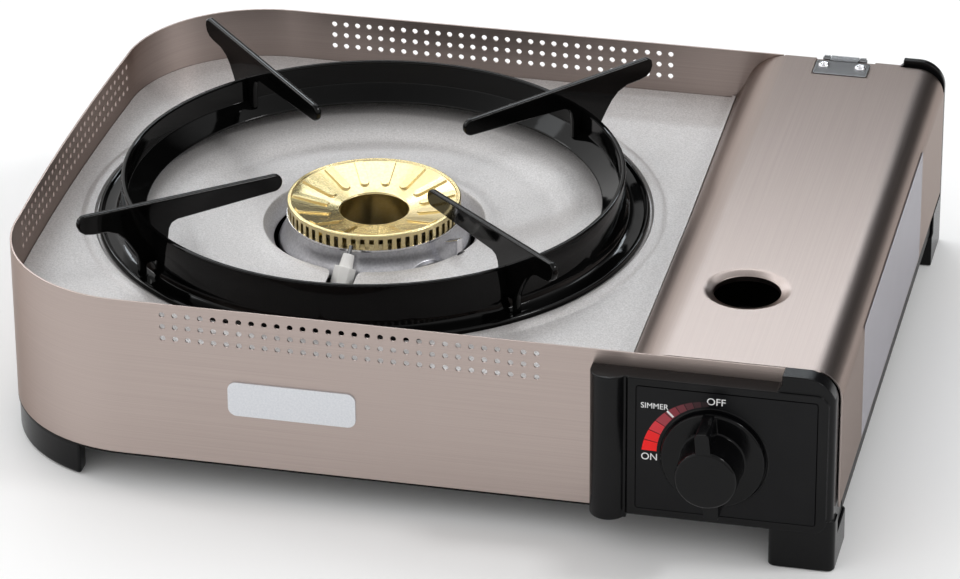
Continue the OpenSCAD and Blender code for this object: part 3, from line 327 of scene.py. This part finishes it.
KNOB_JOINT = next(row for row in frame["record"]["behaviour"]["joints"] if row["name"] == "knob_turn")
KNOB_X, KNOB_Z = KNOB_JOINT["pos_m"][0] / MM, KNOB_JOINT["pos_m"][2] / MM
DIAL_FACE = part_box("dial_plate")[0].y / MM
# The ink lies a hair in front of the dial plate, and ink printed over ink as much again.
INK_GAP = 0.02
PRINT_Y = DIAL_FACE - INK_GAP

# From the ON end to the OFF end the printed wedge narrows and its red fades into the black sheet.
WEDGE_ANGLES = [179.5, 169.3, 159.3, 148.8, 137.3, 126.2, 118.1, 110.2, 102.5, 95.5]
WEDGE_TINTS = ["#f4201f", "#ee2526", "#d63a42", "#a23f48", "#85363f", "#6e343b", "#552b31", "#3c2226",
               "#261a1c"]
WEDGE_INNER = 21.6
WEDGE_OUTER = 27.3
NARROWING_PER_DEGREE = 0.046
# Neighbouring tints overlap by this angle at each end, and each arc is drawn in this many steps.
TINT_OVERLAP = 0.35
ARC_STEPS = 4
# The white tick of the low flame, as (radius, angle) corners
SIMMER_TICK = ((25.3, 135.6), (25.3, 133.8), (21.9, 133.6), (21.9, 135.8))
# Each word with its centre in X and Z, its height and its width
DIAL_WORDS = (
    ("OFF", (122.9, 68.1), 2.9, 7.0),
    ("ON", (97.9, 42.1), 2.9, 6.0),
    ("SIMMER", (99.8, 63.8), 2.3, 10.4),
)
# Ink spreads past a letter's outline by this part of the letter's size.
LETTER_SPREAD = 0.004


def printed_ink(name, tint):
    """Screen ink: one opaque colour with a low shine, as it dries on a smooth sheet."""
    return plain_coat(name, tint, tint, roughness=0.35, shine=0.2, grain=0.5)


WHITE_INK = printed_ink("white_screen_print", "#e8e8e8")


def on_dial(radius, angle):
    """The X and Z of a point round the knob's axis, with the angle anticlockwise from the right."""
    turn = math.radians(angle)
    return KNOB_X + radius * math.cos(turn), KNOB_Z + radius * math.sin(turn)


def wedge_outer(angle):
    """The wedge's outer radius at an angle."""
    return WEDGE_OUTER - (WEDGE_ANGLES[0] - angle) * NARROWING_PER_DEGREE


def flat_print(name, corners, ink, y):
    """A thin printed patch from its corners in X and Z."""
    bm = bmesh.new()
    bm.faces.new([bm.verts.new((x * MM, y * MM, z * MM)) for x, z in corners])
    mesh = bpy.data.meshes.new(name)
    bm.to_mesh(mesh)
    bm.free()
    link(mesh, name, "stove", "dial_print", ink)


def heat_wedge():
    """The red mark between ON and OFF, one patch for each tint, and the low flame's tick over it."""
    for index, tint in enumerate(WEDGE_TINTS):
        start, end = WEDGE_ANGLES[index] - TINT_OVERLAP, WEDGE_ANGLES[index + 1] + TINT_OVERLAP
        arc = [start + (end - start) * k / ARC_STEPS for k in range(ARC_STEPS + 1)]
        outer = [on_dial(wedge_outer(angle), angle) for angle in arc]
        inner = [on_dial(WEDGE_INNER, angle) for angle in reversed(arc)]
        ink = printed_ink(f"red_screen_print_{index + 1}", tint)
        flat_print(f"heat_mark_{index + 1}", outer + inner, ink, PRINT_Y)
    tick = [on_dial(radius, angle) for radius, angle in SIMMER_TICK]
    flat_print("simmer_tick", tick, WHITE_INK, PRINT_Y - INK_GAP)


def dial_word(word, centre, height, width):
    """Screen-printed word, scaled to its width and height round its centre."""
    text = bpy.data.curves.new("dial_word", "FONT")
    text.body = word
    text.offset = LETTER_SPREAD
    holder = bpy.data.objects.new("dial_word", text)
    bpy.context.collection.objects.link(holder)
    mesh = bpy.data.meshes.new_from_object(holder)
    bpy.data.objects.remove(holder)
    low = [min(v.co[k] for v in mesh.vertices) for k in (0, 1)]
    high = [max(v.co[k] for v in mesh.vertices) for k in (0, 1)]
    middle = [(a + b) / 2 for a, b in zip(low, high)]
    size_x, size_z = width * MM / (high[0] - low[0]), height * MM / (high[1] - low[1])
    # Centred, sized, stood upright to face the front, and moved to its place
    mesh.transform(Matrix.Translation((-middle[0], -middle[1], 0)))
    mesh.transform(Matrix.Diagonal((size_x, size_z, 1, 1)))
    mesh.transform(Matrix.Rotation(math.radians(90), 4, "X"))
    mesh.transform(Matrix.Translation((centre[0] * MM, PRINT_Y * MM, centre[1] * MM)))
    link(mesh, "word_" + word.lower(), "stove", "dial_print", WHITE_INK)


heat_wedge()
for word in DIAL_WORDS:
    dial_word(*word)

# ---------------------------------------------------------------- moulded ring round the knob

BEZEL_INNER = 20.1
BEZEL_OUTER = 20.95
# The rim stands this far proud, with a slope as wide as it is high on both sides.
BEZEL_RISE = 0.25
# The rim's foot is this far in front of the dial plate, and its root goes this deep behind the foot.
BEZEL_FOOT = 0.05
BEZEL_ROOT = 0.3
BEZEL_STEPS = 96
BEZEL_CREASE = 30


def dial_bezel():
    """The low ring of the panel that the knob's disc turns in, spun from its section."""
    section = [(BEZEL_INNER, BEZEL_ROOT), (BEZEL_INNER, 0.0), (BEZEL_INNER + BEZEL_RISE, -BEZEL_RISE),
               (BEZEL_OUTER - BEZEL_RISE, -BEZEL_RISE), (BEZEL_OUTER, 0.0), (BEZEL_OUTER, BEZEL_ROOT)]
    bm = bmesh.new()
    axis = Vector((0, 1, 0))
    side = axis.orthogonal().normalized()
    middle = Vector((KNOB_X, DIAL_FACE - BEZEL_FOOT, KNOB_Z)) * MM
    verts = [bm.verts.new(middle + side * radius * MM + axis * along * MM) for radius, along in section]
    edges = [bm.edges.new(pair) for pair in zip(verts, verts[1:] + verts[:1])]
    bmesh.ops.spin(bm, geom=verts + edges, cent=middle, axis=axis, dvec=(0, 0, 0), angle=2 * math.pi,
                   steps=BEZEL_STEPS, use_merge=True, use_duplicate=False)
    bmesh.ops.remove_doubles(bm, verts=bm.verts, dist=MERGE_GAP * MM)
    bmesh.ops.recalc_face_normals(bm, faces=bm.faces)
    mesh = bpy.data.meshes.new("dial_bezel")
    bm.to_mesh(mesh)
    bm.free()
    smooth_by_angle(mesh, BEZEL_CREASE)
    link(mesh, "dial_bezel", "stove", "black_plastic")


dial_bezel()

# ---------------------------------------------------------------- floor, light and camera

FLOOR_SIZE = 12
# The floor lies this far under the feet, so that no face of theirs shares its plane.
FLOOR_DROP = 0.3 * MM

# The dome's light against the upward part of a direction: grey at the horizon, full from 13 to 46 degrees
# up, and dim overhead, so that pale level faces don't wash out.
DOME_STOPS = ((0.0, grey(0.6)), (0.22, (1.0, 0.99, 0.98, 1.0)), (0.72, grey(1.0)), (0.88, grey(0.5)),
              (1.0, grey(0.3)))
DOME_STRENGTH = 1.3

CAMERA_PLACE = Vector((0.39842, -1.71920, 0.97149))
CAMERA_AZIMUTH = math.radians(12.925)
CAMERA_ELEVATION = math.radians(27.982)
CAMERA_ROLL = math.radians(-0.388)
# Lens and sensor width in mm, as a camera's maker gives them
CAMERA_LENS = 187.67
SENSOR_WIDTH = 36


def studio_floor():
    """Matt white paper: it takes the stove's soft shadow and shows no reflection of its own."""
    bm = bmesh.new()
    bmesh.ops.create_grid(bm, x_segments=1, y_segments=1, size=FLOOR_SIZE)
    mesh = bpy.data.meshes.new("studio_floor")
    bm.to_mesh(mesh)
    bm.free()
    floor = bpy.data.objects.new("studio_floor", mesh)
    bpy.context.collection.objects.link(floor)
    made, tree = new_material("white_paper_floor")
    shader = add(tree, "ShaderNodeBsdfPrincipled",
                 Base_Color=srgb("#fdfdfd"), Roughness=0.9, Specular_IOR_Level=0.2)
    add(tree, "ShaderNodeOutputMaterial", {"Surface": (shader, "BSDF")})
    mesh.materials.append(made)
    floor.location.z = -FLOOR_DROP


def dimmed_towards(tree, place, azimuth, start, end, level):
    """White, fading to a grey level as a direction nears this azimuth low over the floor."""
    turn = math.radians(azimuth)
    nearness = add(tree, "ShaderNodeVectorMath", {0: (place, "Generated")}, operation="DOT_PRODUCT")
    nearness.inputs[1].default_value = (math.cos(turn), math.sin(turn), 0)
    return add(tree, "ShaderNodeValToRGB", {"Fac": (nearness, "Value")},
               stops=((start, grey(1.0)), (end, grey(level))))


def studio_world():
    """Soft pale dome. A dark screen low at the back right shades the metal's right-hand rounds, and the
    dimmer front right lets the light fall forwards from the left and the back."""
    world = bpy.data.worlds.new("softbox_dome")
    bpy.context.scene.world = world
    world.use_nodes = True
    tree = world.node_tree
    tree.nodes.clear()
    place = add(tree, "ShaderNodeTexCoord")
    parts = add(tree, "ShaderNodeSeparateXYZ", {"Vector": (place, "Generated")})
    dome = add(tree, "ShaderNodeValToRGB", {"Fac": (parts, "Z")}, stops=DOME_STOPS)
    screen = dimmed_towards(tree, place, azimuth=60, start=0.52, end=0.80, level=0.02)
    front = dimmed_towards(tree, place, azimuth=300, start=0.2, end=0.9, level=0.6)
    shades = add(tree, "ShaderNodeVectorMath", {0: (screen, "Color"), 1: (front, "Color")},
                 operation="MULTIPLY")
    light = add(tree, "ShaderNodeVectorMath", {0: (dome, "Color"), 1: (shades, "Vector")},
                operation="MULTIPLY")
    back = add(tree, "ShaderNodeBackground", {"Color": (light, "Vector")}, Strength=DOME_STRENGTH)
    add(tree, "ShaderNodeOutputWorld", {"Surface": (back, "Background")})


def softbox(name, place, target, size, power, tint=(1, 1, 1)):
    """A rectangular lamp that faces its target."""
    lamp = bpy.data.lights.new(name, "AREA")
    lamp.color = tint
    lamp.shape = "RECTANGLE"
    lamp.size, lamp.size_y = size
    lamp.energy = power
    holder = bpy.data.objects.new(name, lamp)
    bpy.context.collection.objects.link(holder)
    holder.location = place
    holder.rotation_euler = (Vector(target) - Vector(place)).to_track_quat("-Z", "Y").to_euler()


def studio_camera():
    """A long lens that looks down on the front from a little to the right."""
    data = bpy.data.cameras.new("studio_camera")
    data.sensor_fit = "HORIZONTAL"
    data.sensor_width = SENSOR_WIDTH
    data.lens = CAMERA_LENS
    camera = bpy.data.objects.new("studio_camera", data)
    bpy.context.collection.objects.link(camera)
    away = Vector((math.sin(CAMERA_AZIMUTH) * math.cos(CAMERA_ELEVATION),
                   -math.cos(CAMERA_AZIMUTH) * math.cos(CAMERA_ELEVATION), math.sin(CAMERA_ELEVATION)))
    turn = (-away).to_track_quat("-Z", "Y").to_matrix() @ Matrix.Rotation(CAMERA_ROLL, 3, "Z")
    camera.matrix_world = Matrix.Translation(CAMERA_PLACE) @ turn.to_4x4()
    bpy.context.scene.camera = camera


studio_floor()
studio_world()
# A long thin strip behind, which the lid's and the plate's level faces mirror as a soft cool sheen
softbox("back_strip", place=(-0.28, 1.1, 0.80), target=(0.1, -0.1, 0.08), size=(1.2, 0.07), power=2.0,
        tint=(0.86, 0.94, 1.0))
# A wide strip higher up, which the far side of the brass cap's hollow mirrors
softbox("high_strip", place=(-0.35, 0.75, 1.2), target=(0.0, 0.0, 0.06), size=(1.9, 0.22), power=2.7,
        tint=(0.93, 0.97, 1.0))
# Two small lamps, which put short bright glints on black enamel and plastic
softbox("spot_right", place=(1.3, 0.0, 1.45), target=(0, 0, 0), size=(0.28, 0.28), power=6)
softbox("spot_left", place=(-1.7, 0.4, 1.0), target=(0, 0, 0), size=(0.3, 0.3), power=2.5)
studio_camera()

bpy.context.scene.view_settings.view_transform = "Standard"
